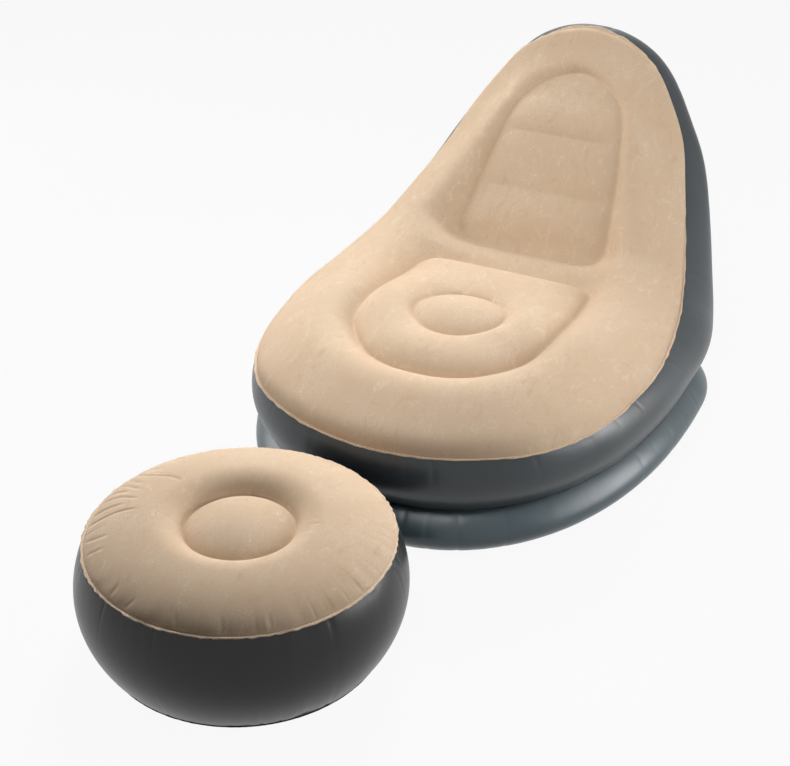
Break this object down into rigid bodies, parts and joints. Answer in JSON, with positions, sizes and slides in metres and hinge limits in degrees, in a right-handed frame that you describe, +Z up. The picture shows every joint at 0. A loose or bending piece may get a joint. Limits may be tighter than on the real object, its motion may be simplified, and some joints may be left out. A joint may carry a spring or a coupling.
{
  "type": "inflatable lounge chair with footstool",
  "caption": "Inflatable lounge chair with a reclined back, a flocked top sheet with welded seat and lumbar panels and a smooth dark lower ring, with a round inflatable footstool.",
  "frame": {"origin": "on the floor under the middle of the chair's lower ring, in the plane of its flat bottom sheet", "axes": "+Z up, +Y from the front of the seat towards the back rest, +X to the right of a person who stands in front and looks at the chair"},
  "size_m": [0.9874, 2.0128, 0.7305],
  "materials": {
    "flocked_vinyl": "suede-like flocking in light tan on a vinyl sheet, matt, with faint brushed marks",
    "dark_vinyl": "soft PVC sheet in dark bluish grey, satin, smooth",
    "web_vinyl": "soft PVC sheet in grey, plain, inside the air space",
    "valve_vinyl": "moulded soft vinyl in near-black grey, satin"
  },
  "bodies": {
    "chair": {"chair_top_sheet": "flocked_vinyl", "chair_side_wall": "dark_vinyl", "chair_divider_sheet": "dark_vinyl", "base_side_wall": "dark_vinyl", "base_bottom_sheet": "dark_vinyl", "base_tie_web_front": "web_vinyl", "base_tie_web_middle": "web_vinyl", "base_tie_web_rear": "web_vinyl", "seat_outline_web": "web_vinyl", "seat_button_web": "web_vinyl", "lumbar_outline_web": "web_vinyl", "lumbar_lower_channel_web": "web_vinyl", "lumbar_upper_channel_web": "web_vinyl", "chair_valve_base": "valve_vinyl"},
    "chair_valve": {"chair_valve_body": "valve_vinyl"},
    "chair_valve_flap": {"chair_valve_flap": "valve_vinyl"},
    "chair_valve_cap": {"chair_valve_cap": "valve_vinyl"},
    "footstool": {"stool_top_sheet": "flocked_vinyl", "stool_side_wall": "dark_vinyl", "stool_bottom_sheet": "dark_vinyl", "stool_centre_web": "web_vinyl", "stool_valve_base": "valve_vinyl"},
    "stool_valve": {"stool_valve_body": "valve_vinyl"},
    "stool_valve_flap": {"stool_valve_flap": "valve_vinyl"},
    "stool_valve_cap": {"stool_valve_cap": "valve_vinyl"}
  },
  "joints": [
    {"name": "footstool_slide", "type": "slide", "parent": "chair", "child": "footstool", "axis": [0, -1, 0], "range_m": [0, 0.5]},
    {"name": "chair_valve_hinge", "type": "hinge", "parent": "chair", "child": "chair_valve", "pos_m": [-0.0255, 0.68683, 0.28429], "axis": [0, 0.6227, 0.7825], "range_deg": [0, 120]},
    {"name": "chair_cap_hinge", "type": "hinge", "parent": "chair_valve", "child": "chair_valve_cap", "pos_m": [0.0185, 0.688, 0.28336], "axis": [0, -0.6227, -0.7825], "range_deg": [0, 120]},
    {"name": "chair_flap_hinge", "type": "hinge", "parent": "chair_valve", "child": "chair_valve_flap", "pos_m": [-0.0115, 0.67963, 0.29002], "axis": [0, -0.6227, -0.7825], "range_deg": [0, 40]},
    {"name": "stool_valve_hinge", "type": "hinge", "parent": "footstool", "child": "stool_valve", "pos_m": [-0.38267, -0.69006, 0.09592], "axis": [-0.433, -0.75, 0.5], "range_deg": [0, 120]},
    {"name": "stool_cap_hinge", "type": "hinge", "parent": "stool_valve", "child": "stool_valve_cap", "pos_m": [-0.37297, -0.67026, 0.13402], "axis": [0.433, 0.75, -0.5], "range_deg": [0, 120]},
    {"name": "stool_flap_hinge", "type": "hinge", "parent": "stool_valve", "child": "stool_valve_flap", "pos_m": [-0.3712, -0.6886, 0.10804], "axis": [0.433, 0.75, -0.5], "range_deg": [0, 40]}
  ]
}
